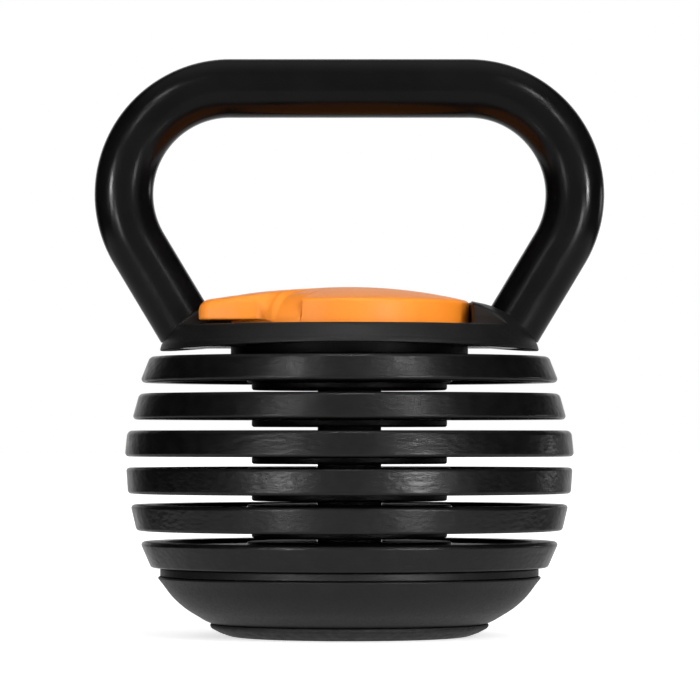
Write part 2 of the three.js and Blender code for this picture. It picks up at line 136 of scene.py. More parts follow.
def hammertone():
    """Cast iron under thick textured paint: the casting's slow unevenness, then lumps of 4 mm and of
    under 2 mm that are half as high as they are wide."""
    f = Finish("hammertone_iron", 0.32)
    lumps = f.noise(1, 0, place=f.stretched((240, 240, 520)))
    grain = f.noise(1, 1, place=f.stretched((600, 600, 1500)))
    f.colours(f.noise(160, 4), (0.3, (0.002, 0.0018, 0.0018)), (0.7, (0.0046, 0.0042, 0.0042)))
    f.rough(f.noise(180, 1), 0.29, 0.35)
    f.bumps((f.noise(100, 0), 0.3, 0.0006), (lumps, 0.36, 0.0004), (grain, 0.3, 0.0002))
    return f.material


def black_plastic():
    """Moulded black plastic with a fine spark-eroded grain."""
    f = Finish("black_plastic", 0.46)
    f.colours(f.noise(90, 4), (0.3, (0.0035, 0.0033, 0.0033)), (0.7, (0.006, 0.0057, 0.0057)))
    f.rough(f.noise(700, 4), 0.42, 0.54)
    f.bumps((f.noise(240, 2), 0.06, 0.0003), (f.noise(3800, 3), 0.35, 0.0001))
    return f.material


def orange_plastic():
    """Satin orange moulding: very fine grain, faint flow marks in colour and gloss."""
    f = Finish("orange_plastic", 0.4)
    f.colours(f.noise(55, 3), (0.3, (0.93, 0.262, 0.018)), (0.7, (0.98, 0.288, 0.023)))
    f.rough(f.noise(500, 3), 0.36, 0.46)
    f.bumps((f.noise(150, 2), 0.05, 0.0003), (f.noise(3500, 2), 0.16, 0.00008))
    return f.material


def bare_steel():
    """Turned steel: fine rings across the axis and small stains."""
    f = Finish("bare_steel", 0.32, metallic=1.0)
    rings = f.noise(1, 4, 0.6, f.stretched((120, 120, 5200)))
    f.colours(f.noise(140, 5), (0.25, (0.26, 0.265, 0.275)), (0.7, (0.42, 0.425, 0.435)))
    f.rough(rings, 0.24, 0.42)
    f.bumps((rings, 0.12, 0.00008))
    return f.material


def oxide_and_painted_shade():
    """Blackened steel: dull, with small paler stains and turning marks across the axis. Its colour is
    set darker than the steel's own, as painted shade for the neck ring under the housing and the post and
    shelves between the plates.
    """
    f = Finish("oxide_and_painted_shade", 0.5, specular=0.2)
    # very dark base colour: partly painted shade for the parts that sit in shadow
    f.colours(f.noise(180, 4), (0.3, (0.0008, 0.0008, 0.0008)), (0.72, (0.0018, 0.0018, 0.0018)))
    f.rough(f.noise(500, 3), 0.44, 0.6)
    f.bumps((f.noise(1, 3, 0.6, f.stretched((150, 150, 3000))), 0.1, 0.00008))
    return f.material


def foot_rubber():
    """Matt rubber with a fine pebble and slight scuffs."""
    f = Finish("foot_rubber", 0.7)
    f.colours(f.noise(200, 5), (0.3, (0.008, 0.008, 0.0079)), (0.72, (0.014, 0.0138, 0.0136)))
    f.rough(f.noise(300, 4), 0.55, 0.78)
    f.bumps((f.cells(1500), 0.3, 0.00015), (f.noise(3000, 3), 0.3, 0.0001))
    return f.material


def ballast_iron():
    """Raw cast iron: coarse sand-cast grain, grey with brown tints."""
    f = Finish("ballast_iron", 0.7, metallic=0.6)
    f.colours(f.noise(180, 6), (0.3, (0.055, 0.052, 0.05)), (0.7, (0.11, 0.095, 0.085)))
    f.rough(f.noise(600, 4), 0.55, 0.8)
    f.bumps((f.noise(700, 5, 0.65), 0.5, 0.0004))
    return f.material


def bronze():
    """Sintered bronze: warm metal with fine pores."""
    f = Finish("bronze", 0.38, metallic=1.0)
    f.colours(f.noise(260, 5), (0.3, (0.42, 0.24, 0.085)), (0.7, (0.58, 0.36, 0.15)))
    f.rough(f.noise(900, 3), 0.3, 0.48)
    f.bumps((f.cells(2600), 0.2, 0.00008))
    return f.material


FINISHES = {
    "black_paint": black_paint(),
    "hammertone_iron": hammertone(),
    "black_plastic": black_plastic(),
    "orange_plastic": orange_plastic(),
    "bare_steel": bare_steel(),
    "oxide_and_painted_shade": oxide_and_painted_shade(),
    "foot_rubber": foot_rubber(),
    "ballast_iron": ballast_iron(),
    "bronze": bronze(),
}


# ---------------------------------------------------------------- from points to pieces


def rounded(corners, steps=6):
    """A closed outline from corners given as (radius, height, round). Each corner becomes an arc that touches
    both of its edges, so the arc starts at round / tan(half the corner's angle) from the corner. A corner of
    almost 180 degrees is taken as one of 179.98."""
    corners = np.asarray(corners, float)
    corner = corners[:, :2]
    radius = corners[:, 2:]
    back = np.roll(corner, 1, 0) - corner
    ahead = np.roll(corner, -1, 0) - corner
    back /= np.linalg.norm(back, axis=1, keepdims=True)
    ahead /= np.linalg.norm(ahead, axis=1, keepdims=True)
    half = np.arccos(np.clip((back * ahead).sum(1), -1, 1))[:, None] / 2
    half = np.minimum(half, 89.99 * DEG)
    middle = back + ahead
    middle /= np.maximum(np.linalg.norm(middle, axis=1, keepdims=True), 1e-9)
    start = back * radius / np.tan(half)
    centre = middle * radius / np.sin(half)
    side = np.sign(ahead[:, 0] * back[:, 1] - ahead[:, 1] * back[:, 0])[:, None]
    turn = side * (np.pi - 2 * half) * np.linspace(0, 1, steps + 1)
    arm = start - centre
    x = arm[:, :1] * np.cos(turn) - arm[:, 1:] * np.sin(turn)
    y = arm[:, :1] * np.sin(turn) + arm[:, 1:] * np.cos(turn)
    return ((corner + centre)[:, None, :] + np.stack([x, y], -1)).reshape(-1, 2)


def outward(section):
    """Outward normals of an anticlockwise section: its direction of travel turned clockwise."""
    along = np.roll(section, -1, 0) - np.roll(section, 1, 0)
    along /= np.maximum(np.linalg.norm(along, axis=1, keepdims=True), 1e-9)
    return np.stack([along[:, 1], -along[:, 0]], -1)


def finer(section, longest):
    """The section with points added so that no step is longer than that."""
    following = np.roll(section, -1, 0)
    length = np.linalg.norm(following - section, axis=1)
    count = np.maximum(np.ceil(length / longest).astype(int), 1)
    start = np.repeat(np.arange(len(section)), count)
    step = np.arange(count.sum()) - np.repeat(np.cumsum(count) - count, count)
    share = (step / count[start])[:, None]
    return section[start] * (1 - share) + following[start] * share


def turned(section, azimuth):
    """A section turned about Z: x = r cos(azimuth), y = r sin(azimuth), z = z. The section may differ
    from one azimuth to the next."""
    r, z = section[..., 0], section[..., 1]
    if section.ndim == 2:
        r, z = r[:, None], z[:, None]
    return np.stack([r * np.cos(azimuth), r * np.sin(azimuth), z + 0 * azimuth], -1)


def smooth(value):
    """Soft step from 0 to 1: 3 v^2 - 2 v^3."""
    value = np.clip(value, 0, 1)
    return value * value * (3 - 2 * value)


def smallest(a, b, blend):
    """The smaller of two values, blended over a band so that the edge between them is round."""
    share = np.clip(0.5 + 0.5 * (b - a) / blend, 0, 1)
    return b + (a - b) * share - blend * share * (1 - share)


def grid_faces(rows, columns, capped):
    """Quads between neighbouring points of a grid, as point numbers. The last row joins the first, and
    the last column joins the first too, unless the piece is capped."""
    number = np.arange(rows * columns).reshape(rows, columns)
    number = np.vstack([number, number[:1]])
    if not capped:
        number = np.hstack([number, number[:, :1]])
    return np.stack([number[:-1, :-1], number[:-1, 1:], number[1:, 1:], number[1:, :-1]], -1).reshape(-1, 4)


def closed_mesh(name, grid, capped):
    """One closed mesh from a grid of points. A capped one has a flat face on its first and on its last
    column. Double points are merged, and the faces are then turned outwards."""
    rows, columns = grid.shape[:2]
    faces = grid_faces(rows, columns, capped).tolist()
    if capped:
        first_column = np.arange(rows) * columns
        faces += [first_column.tolist(), (first_column + columns - 1)[::-1].tolist()]
    mesh = bpy.data.meshes.new(name)
    mesh.from_pydata((grid.reshape(-1, 3) * MM).tolist(), [], faces)
    work = bmesh.new()
    work.from_mesh(mesh)
    bmesh.ops.remove_doubles(work, verts=work.verts, dist=MERGE_DISTANCE)
    bmesh.ops.recalc_face_normals(work, faces=work.faces)
    work.to_mesh(mesh)
    work.free()
    return mesh


def piece(name, grid, body, slot, finish=None, capped=False):
    """A new piece that stands for the CAD node of that name and rides on its body. Its finish is that of its
    material slot, unless another one is named."""
    mesh = closed_mesh(f"{name}_skin", grid, capped)
    mesh.shade_smooth()
    mesh.set_sharp_from_angle(angle=SHARP_ANGLE)
    mesh.materials.append(FINISHES[finish or slot])
    skin = bpy.data.objects.new(f"{name}_skin", mesh)
    bpy.context.scene.collection.objects.link(skin)
    even = skin.modifiers.new("even_normals", "WEIGHTED_NORMAL")
    even.keep_sharp = True
    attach(skin, body)
    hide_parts(name)


# ---------------------------------------------------------------- handle

TUBE_R = 15.0
TUBE_WALL = 2.5
BEND_R = 54.1
BEND_X = 61.0
BEND_Z = 225.4
LEG_LEAN = 31 * DEG
LEG_LENGTH = 45.5
LEG_FOOT_Z = 149.7


def handle_tube():
    """A round tube carried along grip, bend and leg. At the distance s from the grip's middle it is
    straight until BEND_X, then an arc of BEND_R that turns by 90 degrees plus the legs' lean, then
    straight again, and the other half is its mirror image. The outer skin runs one way and the bore comes
    back, and the end rings slide along the legs to the foot's level."""
    bend = BEND_R * (np.pi / 2 + LEG_LEAN)
    half = np.concatenate([
        np.linspace(0, BEND_X, 16)[:-1],
        BEND_X + np.linspace(0, bend, 56)[:-1],
        BEND_X + bend + np.linspace(0, LEG_LENGTH, 12),
        [BEND_X + bend + LEG_LENGTH],
    ])
    s = np.concatenate([-half[:0:-1], half])
    angle = np.clip((np.abs(s) - BEND_X) / BEND_R, 0, np.pi / 2 + LEG_LEAN)
    along = np.maximum(np.abs(s) - BEND_X - bend, 0)
    x = np.sign(s) * (np.minimum(np.abs(s), BEND_X) + BEND_R * np.sin(angle) - along * np.sin(LEG_LEAN))
    z = BEND_Z + BEND_R * np.cos(angle) - along * np.cos(LEG_LEAN)
    side = np.stack([np.sign(s) * np.sin(angle), 0 * s, np.cos(angle)], -1)
    around_tube = np.linspace(0, 2 * np.pi, 64, endpoint=False)

    def skin(radius):
        ring = radius * (np.cos(around_tube)[None, :, None] * side[:, None, :]
                         + np.sin(around_tube)[None, :, None] * np.array([0.0, 1.0, 0.0]))
        points = np.stack([x, 0 * x, z], -1)[:, None, :] + ring
        for end, towards in ((0, 1), (-1, -1)):
            lean = np.array([towards * np.sin(LEG_LEAN), 0, -np.cos(LEG_LEAN)])
            drop = (LEG_FOOT_Z - points[end, :, 2]) / lean[2]
            points[end] += drop[:, None] * lean
        return points

    return np.concatenate([skin(TUBE_R), skin(TUBE_R - TUBE_WALL)[::-1]])


piece("handle_tube", handle_tube(), "frame", "black_paint")


# ---------------------------------------------------------------- plates

# Lowest first: radius at the underside and at the top.
PLATE_RADII = [
    (101.0, 106.8),
    (108.4, 111.5),
    (112.8, 113.7),
    (114.4, 113.1),
    (110.7, 107.0),
    (106.8, 101.6),
]
PLATE_THICK = 13.2
PLATE_PITCH = 18.8
STACK_Z = 35.2
RIM_WIDTH = 12.5
RECESS_DRAFT = 2.0
HUB_R = 52.0
HUB_DRAFT = 0.8
EYE_R = 20.4
SLOT_HALF = 16.4
SLOT_EDGE = 0.9
PLATE_KG = 2.27
IRON_KG_PER_MM3 = 7.2e-6


def from_top(index):
    """Plates and shelves are built from the lowest, index 0, and numbered from the highest, 1."""
    return len(PLATE_RADII) - index


def recess_depth(low, high):
    """Depth of the recess on both faces that brings the plate to its weight."""
    mean = (low + high) / 2
    slot = 2 * SLOT_HALF * mean * PLATE_THICK + np.pi / 2 * EYE_R**2 * PLATE_THICK
    recess = mean - RIM_WIDTH - RECESS_DRAFT / 2
    area = np.pi * (recess**2 - HUB_R**2) - 2 * SLOT_HALF * (recess - HUB_R)
    return (np.pi * mean**2 * PLATE_THICK - slot - PLATE_KG / IRON_KG_PER_MM3) / (2 * area)


def plate_section(index):
    """Hub, recess and rim of a plate, which tapers from its lower to its upper radius."""
    low, high = PLATE_RADII[index]
    z0 = STACK_Z + index * PLATE_PITCH
    z1 = z0 + PLATE_THICK
    deep = recess_depth(low, high)
    top_round = 1.6 if index < 3 else 2.8  # the lower three flare towards a sharper top edge
    return rounded([
        (EYE_R, z0, 0.9),
        (HUB_R, z0, 1.2),
        (HUB_R + HUB_DRAFT, z0 + deep, 1.4),
        (low - RIM_WIDTH - RECESS_DRAFT, z0 + deep, 1.8),
        (low - RIM_WIDTH, z0, 1.4),
        (low, z0, 1.8),
        (high, z1, top_round),
        (high - RIM_WIDTH, z1, 1.4),
        (high - RIM_WIDTH - RECESS_DRAFT, z1 - deep, 1.8),
        (HUB_R + HUB_DRAFT, z1 - deep, 1.4),
        (HUB_R, z1, 1.2),
        (EYE_R, z1, 0.9),
    ], 5)


def plate(index):
    """A plate's section turned about Z, from one side of the slot round to the other. At radius r the
    slot's wall stands at the angle whose sine is SLOT_HALF / r from +Y. The end columns draw in along the
    section's normals by SLOT_EDGE * (1 - sin) while they close on the wall by SLOT_EDGE * (1 - cos),
    which rounds the slot's edges."""
    section = plate_section(index)
    lean = np.linspace(0, 90, 5) * DEG
    off_wall = SLOT_EDGE * (1 - np.cos(lean))
    inset = SLOT_EDGE * (1 - np.sin(lean))
    columns = 200
    draw = np.concatenate([inset, np.zeros(columns), inset[::-1]])
    gap = np.concatenate([off_wall, np.full(columns, SLOT_EDGE), off_wall[::-1]])
    share = np.concatenate([0 * lean, np.linspace(0, 1, columns + 2)[1:-1], 1 + 0 * lean])
    drawn = section[:, None, :] - outward(section)[:, None, :] * draw[None, :, None]
    wall_angle = np.arcsin(np.minimum((SLOT_HALF + gap[None, :]) / drawn[..., 0], 1))
    azimuth = np.pi / 2 + wall_angle + share[None, :] * (2 * np.pi - 2 * wall_angle)
    return turned(drawn, azimuth)


for index in range(len(PLATE_RADII)):
    name = f"plate_{from_top(index)}"
    piece(name, plate(index), name, "hammertone_iron", capped=True)


# ---------------------------------------------------------------- shelves and lid, round the post

AROUND = np.linspace(0, 2 * np.pi, 192, endpoint=False)[None, :]
POST_R = 20.0
POST_FLAT_X = 16.1
POST_HOLE_R = POST_R + GAP
SHELF_R = 49.8
SHELF_THICK = 3.5
LID_R = 96.4
LID_Z = 30.9


def around_post(section):
    """A section turned about Z whose innermost points follow the double-D post with a gap: their radius
    is the smaller of the hole's and that of its flats, flat / cos(azimuth)."""
    grid = turned(section, AROUND)
    flat = (POST_FLAT_X + GAP) / np.maximum(np.abs(np.cos(AROUND)), 1e-3)
    hole = np.minimum(POST_HOLE_R, flat)
    radius = np.hypot(grid[..., 0], grid[..., 1])
    inner = radius < POST_R + 3
    grow = np.where(inner, (hole + radius - POST_HOLE_R) / radius, 1)
    grid[..., 0] *= grow
    grid[..., 1] *= grow
    return grid


def support_shelf(index):
    """A flat steel ring a gap below the plate's underside."""
    top = STACK_Z + index * PLATE_PITCH - GAP
    low = top - SHELF_THICK
    return around_post(rounded([
        (POST_HOLE_R, low, 0.4),
        (SHELF_R, low, 1.3),
        (SHELF_R, top, 0.5),
        (POST_HOLE_R, top, 0.4),
    ]))


def base_lid():
    """A flat ring that closes the bowl, a gap below the lowest plate."""
    top = STACK_Z - GAP
    return around_post(rounded([
        (POST_HOLE_R, LID_Z, 0.4),
        (LID_R, LID_Z, 0.4),
        (LID_R, top, 0.9),
        (POST_HOLE_R, top, 0.4),
    ]))


for index in range(1, len(PLATE_RADII)):
    piece(f"support_shelf_{from_top(index)}", support_shelf(index), "frame", "black_paint", "oxide_and_painted_shade")
piece("base_lid", base_lid(), "frame", "black_plastic")


# ---------------------------------------------------------------- bowl, foot and neck ring

BOLT_HOLE_R = 5.3
BOWL_FLOOR_Z = 6.9
FOOT_R = 70.9
FOOT_TOP_Z = 6.6
NECK_R = 60.5
NECK_Z = 142.95
NECK_FLOOR_Z = 146.1
NECK_TOP_Z = 154.7


def base_bowl():
    """The bowl's shell: out along its floor, up its curved side, and back down inside."""
    return turned(rounded([
        (BOLT_HOLE_R, BOWL_FLOOR_Z, 0.3),
        (70.6, BOWL_FLOOR_Z, 1.5),
        (73.6, 8.2, 18),
        (83.8, 14.3, 40),
        (90.5, 20.4, 40),
        (94.9, 26.5, 40),
        (98.2, LID_Z - GAP, 0.7),
        (95.2, LID_Z - GAP, 0.5),
        (87, 20.4, 45),
        (68, BOWL_FLOOR_Z + SHELL, 8),
        (BOLT_HOLE_R, BOWL_FLOOR_Z + SHELL, 0.3),
    ], 7), AROUND)


def foot_pad():
    """A rubber disc with a round shoulder and a hollow for the bolt's head."""
    return turned(rounded([
        (0, 0, 0),
        (60, 0, 12),
        (65.8, 2, 14),
        (70, 4.2, 2.5),
        (FOOT_R, 5.2, 1.0),
        (FOOT_R, FOOT_TOP_Z, 0.6),
        (14, FOOT_TOP_Z, 0.3),
        (14, 1.5, 0.3),
        (0, 1.5, 0),
    ], 7), AROUND)


def neck_ring():
    """A shallow cup round the post, open to the top."""
    return turned(rounded([
        (EYE_R, NECK_Z, 0.3),
        (NECK_R, NECK_Z, 0.8),
        (NECK_R, NECK_TOP_Z, 0.3),
        (NECK_R - SHELL, NECK_TOP_Z, 0.3),
        (NECK_R - SHELL, NECK_FLOOR_Z, 0.5),
        (EYE_R, NECK_FLOOR_Z, 0.3),
    ]), AROUND)


piece("base_bowl", base_bowl(), "frame", "black_plastic")
piece("foot_pad", foot_pad(), "frame", "foot_rubber")
# painted shade: the plastic neck ring gets the darker blackened finish because it sits in shadow under the
# housing
piece("neck_ring", neck_ring(), "frame", "black_plastic", "oxide_and_painted_shade")


# ---------------------------------------------------------------- top housing

HOUSING_R = 96.7
HOUSING_FOOT_Z = 145.4
HOUSING_TOP_Z = 170.4
FRONT_ARCH = 2.8
BACK_ARCH = 6.6
ARCH_FADE_Z = 156.0
ARCH_FROM_R = 85
FLOOR_Z = 158.0
HUB_HOLE_R = 25
WELL_R = 61.8
WELL_ROUND = 0.9
POCKET_FROM = -168 * DEG
POCKET_TO = -26.2 * DEG
RIM_ROUND = 1.7
FLOOR_ROUND = 0.7
FULL_ROUND_HEIGHT = 4.0  # where an end wall is lower than this, its rounds shrink with it

# The dome's outside from its foot up, as (radius, height, round).
DOME = [
    (HOUSING_R, HOUSING_FOOT_Z, 0.6),
    (95.6, 149.4, 9),
    (87.9, 159.1, 22),
    (82.9, 163.6, 26),
    (71.8, 168.6, 30),
    (63.5, HOUSING_TOP_Z, 1.0),
]


def dome_section():
    """The housing's closed section: up the dome, over the well's rim, down to the pocket's floor, in to
    the hub hole, and back underneath."""
    under = FLOOR_Z - SHELL
    return rounded([
        *DOME,
        (WELL_R, HOUSING_TOP_Z, WELL_ROUND),
        (WELL_R, FLOOR_Z, 0.3),
        (HUB_HOLE_R, FLOOR_Z, 0.5),
        (HUB_HOLE_R, under, 0.3),
        (WELL_R + SHELL, under, 0.4),
        (WELL_R + SHELL, 167, 0.5),
        (71, 165.2, 20),
        (80.8, 160.4, 12),
        (85.2, 156.9, 10),
        (92.8, 149.8, 6),
        (HOUSING_R - SHELL, HOUSING_FOOT_Z, 0.4),
    ])


def dome_radius(height):
    """Radius of the dome's outside at a height, along the straight lines between its lowest three corners."""
    return np.interp(height, [z for _, z, _ in DOME[:3]], [r for r, _, _ in DOME[:3]])


def end_wall_columns():
    """The columns that make one end wall of the pocket, from the dome down to the floor: a quarter round
    at the rim, the wall, and a quarter hollow at the foot. Each has its distance from the wall's plane in
    units of the round or hollow, its height as a share of the wall's, what the round takes off and what
    the hollow adds."""
    turn = np.linspace(0, 90, 7) * DEG
    wall = np.linspace(1, 0, 6)[1:-1]
    away = np.concatenate([1 - np.sin(turn), 0 * wall, -(1 - np.cos(turn[::-1]))])
    height = np.concatenate([1 + 0 * turn, wall, 0 * turn])
    rim = np.concatenate([1 - np.cos(turn), 1 + 0 * wall, 1 + 0 * turn])
    hollow = np.concatenate([0 * turn, 0 * wall, 1 - np.sin(turn[::-1])])
    return away, height, rim, hollow


def top_housing():
    """The dome's section turned about Z. Between the pocket's end walls each height above the floor is
    cut down to it. Next to an end wall a column lies at a set distance from the wall's plane, and its
    height above the floor is scaled by the round rim, the wall or the hollow at the foot. The right end
    wall runs straight to the front at the well's radius until it meets POCKET_TO. The lower edge rises
    with (y / radius) squared."""
    section = finer(dome_section(), 1.6)
    r, z = section[:, :1], section[:, 1:]
    outer = np.arange(len(section))[:, None] < np.argmax(r[:, 0] <= HUB_HOLE_R + 0.01)
    outside_well = r > WELL_R + WELL_ROUND
    over = np.where(outer, np.maximum(z - FLOOR_Z, 0), 0)
    wall_height = np.where(outside_well, over, HOUSING_TOP_Z - FLOOR_Z)
    size = np.clip(wall_height / FULL_ROUND_HEIGHT, 0, 1)
    rim_share = RIM_ROUND * size / np.maximum(wall_height, 1e-6)
    floor_share = FLOOR_ROUND * size / np.maximum(wall_height, 1e-6)

    # Next to the end walls.
    away, height_share, rim, hollow = end_wall_columns()
    sideways = np.where(away > 0, away * RIM_ROUND * size, away * FLOOR_ROUND * size)
    share = height_share * (1 - rim * rim_share)
    share = np.clip(share + hollow * floor_share, 0, 1)

    # Where the columns stand: from the right end wall round the back to the left one, and through the pocket.
    reach = np.maximum(r, WELL_R)
    straight = np.arccos(np.minimum(WELL_R / reach, 1))
    right = -smallest(straight, -POCKET_TO, 1.2 * DEG) + sideways[:, ::-1] / reach
    left = POCKET_FROM - sideways / reach
    margin = 2.4 * DEG
    start = right[:, -1:] + 0.8 * DEG
    end = right[:, :1] - margin
    closed = start + (POCKET_FROM + 2 * np.pi - margin - start) * np.linspace(0, 1, 160)[None, :] ** 1.15
    inside = POCKET_FROM + margin + (end - POCKET_FROM - margin) * np.linspace(0, 1, 104)[None, :]
    azimuth = np.concatenate([closed, left + 2 * np.pi, inside + 2 * np.pi, right + 2 * np.pi], 1)

    # Heights: the share of the dome that each column keeps above the floor, and a flat underside below it.
    kept = np.concatenate([1 + 0 * closed, share, 0 * inside, share[:, ::-1]], 1)
    height = np.where(over > 0, FLOOR_Z + over * kept, z + 0 * kept)
    floor_front = (kept < 0.001) & outer & outside_well
    height = np.where(floor_front, smallest(z, FLOOR_Z + 0 * z, 1.6), height)
    is_pocket = np.arange(azimuth.shape[1]) >= closed.shape[1]
    over_inside = np.where(outer, 0, np.maximum(z - FLOOR_Z + SHELL, 0))
    height = height - over_inside * is_pocket

    # The arch of the lower edge, which fades out up the dome's side.
    y = r * np.sin(azimuth)
    rise = np.where(y < 0, FRONT_ARCH, BACK_ARCH) * (y / HOUSING_R) ** 2
    fade = np.clip((ARCH_FADE_Z - height) / (ARCH_FADE_Z - HOUSING_FOOT_Z), 0, 1) * (r > ARCH_FROM_R)
    lifted = height + rise * fade
    radius = r + np.where(fade > 0, dome_radius(lifted) - dome_radius(height), 0)
    return np.stack([radius * np.cos(azimuth), radius * np.sin(azimuth), lifted], -1)


piece("top_housing", top_housing(), "frame", "black_plastic")


# ---------------------------------------------------------------- dial

DIAL_R = 61.0
DIAL_TOP_Z = 177.9
DIAL_FOOT_Z = 158.5
CROWN_R = 255.0
CAP_ROUND = 1.7
CAP_INSIDE_R = 55.5
CAP_INSIDE_ROUND = 7.5
CAP_THICK = 5.2
CROWN_ROWS = 25
ROUND_ROWS = 9
SEAM = -113.1 * DEG
SEAM_GAP = 0.6 * DEG
SEAM_DEPTH = 3.0
SEAM_FOOT_Z = 162.3
LEVER_BACK = -166.0 * DEG
LEVER_SINK = 1.7  # how far the cap is sunk under the lever
LEVER_SKIN = 1.5
ARM_FROM_R = 24.0
ARM_FRONT = -126.5 * DEG
ARM_RAISE = 2.5
WING_TOP_Z = 173.1
WING_FALL = 0.152  # mm down for each mm out
WING_UNDER = 1.9  # the wing's underside is this much higher than the dial's foot


def crown(r):
    """Height of the dial's spherical top."""
    return DIAL_TOP_Z - CROWN_R + np.sqrt(CROWN_R**2 - r**2)


def rim_round(azimuth):
    """Radius of the round between the lever's top and its wall: wide beside the seam, tight on the arm."""
    return 13.0 - 9.2 * smooth((azimuth - (-132 * DEG)) / (-8 * DEG))


def cap_section(rim, edge, sink):
    """Points from the middle of the cap's top out to its rim and down its wall: the crown's height less sink,
    and less the fall of a quarter circle of radius edge at the rim. Rim and edge hold one value for each
    column."""
    turn = np.linspace(90, 0, ROUND_ROWS)[:, None] * DEG
    far = np.linspace(0, 1, CROWN_ROWS + 1)[:-1, None]
    r_top = far * (rim - edge)
    r_edge = rim - edge * (1 - np.cos(turn))
    r = np.concatenate([r_top, r_edge])
    fall = np.concatenate([0 * r_top, edge * (1 - np.sin(turn))])
    z = crown(r) - sink - fall
    down = np.linspace(0, 1, 14)[1:, None]
    z_wall = z[-1:] * (1 - down) + DIAL_FOOT_Z * down
    return np.concatenate([r, rim + 0 * z_wall]), np.concatenate([z, z_wall])


def dial_cap():
    """The dial's cap: crown and wall turned about Z. Where the lever lies on it, from the seam to the lever's
    back, it is sunk by LEVER_SINK outside ARM_FROM_R, and its rim has the lever's round. Beside the seam it
    stands back by SEAM_DEPTH, and below SEAM_FOOT_Z it swells out again, which closes the groove."""
    step = np.array([0.45, 0.14, 0.02, 0.0, 0.0])
    inset = np.array([0.0, 0.1, 0.3, 0.5, LEVER_SINK])
    plain = np.linspace(SEAM + 1.0 * DEG, LEVER_BACK + 2 * np.pi - 1.0 * DEG, 210)
    under = np.linspace(LEVER_BACK, SEAM, 70)[1:-1]
    groove = np.array([SEAM - SEAM_GAP, SEAM - 0.02 * DEG])
    azimuth = np.concatenate([
        groove,
        SEAM + step[3::-1] / DIAL_R,
        plain,
        LEVER_BACK - step / DIAL_R + 2 * np.pi,
        under + 2 * np.pi,
    ])
    depth = np.concatenate([
        SEAM_DEPTH + 0 * groove,
        inset[3::-1],
        0 * plain,
        inset,
        LEVER_SINK + 0 * under,
    ])[None, :]
    edge = np.full_like(depth, CAP_ROUND)
    edge[0, :2] = rim_round(SEAM) - SEAM_DEPTH
    edge[0, -len(under):] = np.maximum(rim_round(under) - LEVER_SINK, 1.0)
    r, z = cap_section(DIAL_R - depth, edge, 0)
    is_top = np.arange(len(r))[:, None] < CROWN_ROWS + ROUND_ROWS
    z = z - np.where(is_top, depth * smooth((r - ARM_FROM_R) / 0.6), 0)
    beside_seam = slice(0, 6)
    r[:, beside_seam] += depth[:, beside_seam] * smooth((SEAM_FOOT_Z - z[:, beside_seam]) / 0.6)
    r_in, z_in = cap_section(CAP_INSIDE_R + 0 * depth, CAP_INSIDE_ROUND + 0 * edge, CAP_THICK)
    section = np.stack([np.concatenate([r, r_in[::-1]]), np.concatenate([z, z_in[::-1]])], -1)
    return turned(section, azimuth[None, :])


def lever_outline(azimuth):
    """Radius of the lever's plan at each azimuth: the dial's round wall, then the wing with its hollow
    corner, long front flank and rounded tip. The plan is closed through the dial's middle, which is left
    out."""
    arc = np.linspace(-100, -133, 34) * DEG
    wall = np.stack([DIAL_R * np.cos(arc), DIAL_R * np.sin(arc), 0 * arc], -1)
    wing = [(-44.6, -41.6, 7.0), (-75.9, -35.5, 7.5), (-75.9, -17.0, 4.0), (-60, -13.0, 0)]
    middle = [(-20, -4, 0), (10, -10, 0)]
    plan = rounded([*wall, *wing, *middle], 10)
    angle = np.arctan2(plan[:, 1], plan[:, 0])
    reach = np.hypot(plan[:, 0], plan[:, 1])
    keep = (angle < -99 * DEG) & (angle > -170 * DEG) & (reach > 50)
    order = np.argsort(angle[keep])
    return np.interp(azimuth, angle[keep][order], reach[keep][order])


def lever_section(rim, edge, top, foot):
    """The lever's closed section at each azimuth: out along the top, round the rim, down the wall, round the
    wing's lower edge, in along the underside, and back up and in at a skin's thickness under the top."""
    turn = np.linspace(90, 0, 10)[:, None] * DEG
    far = np.linspace(0, 1, 40)[:-1, None]
    arm_start = ARM_FROM_R + GAP
    r_top = arm_start + far * (rim - edge - arm_start)
    r_edge = rim - edge * (1 - np.cos(turn))
    r_out = np.concatenate([r_top, r_edge])
    fall = np.concatenate([0 * r_top, edge * (1 - np.sin(turn))])
    z_out = top(r_out) - fall
    low = np.minimum(1.1, (rim - DIAL_R) * 0.5 + 0.3)
    down = np.linspace(0, 1, 8)[1:-1, None]
    z_wall = z_out[-1:] * (1 - down) + (foot + low) * down
    under = np.linspace(0, 90, 5)[:, None] * DEG
    r_low = rim - low * (1 - np.cos(under))
    z_low = foot + low * (1 - np.sin(under))
    inner = DIAL_R - LEVER_SKIN
    inner_edge = np.maximum(np.minimum(edge, 13) - LEVER_SKIN, 0.8)
    r_in = inner - inner_edge * (1 - np.cos(turn[::-1]))
    r_back = inner - inner_edge + (arm_start - inner + inner_edge) * np.linspace(0, 1, 20)[1:, None]
    r_under = np.concatenate([r_in, r_back])
    fall_in = np.concatenate([inner_edge * (1 - np.sin(turn[::-1])), 0 * r_back])
    z_under = np.minimum(crown(r_under), top(r_under)) - LEVER_SKIN - fall_in
    r = np.concatenate([r_out, rim + 0 * z_wall, r_low, inner + 0 * rim, r_under])
    z = np.concatenate([z_out, z_wall, z_low, foot + 0 * rim, z_under])
    return r, z


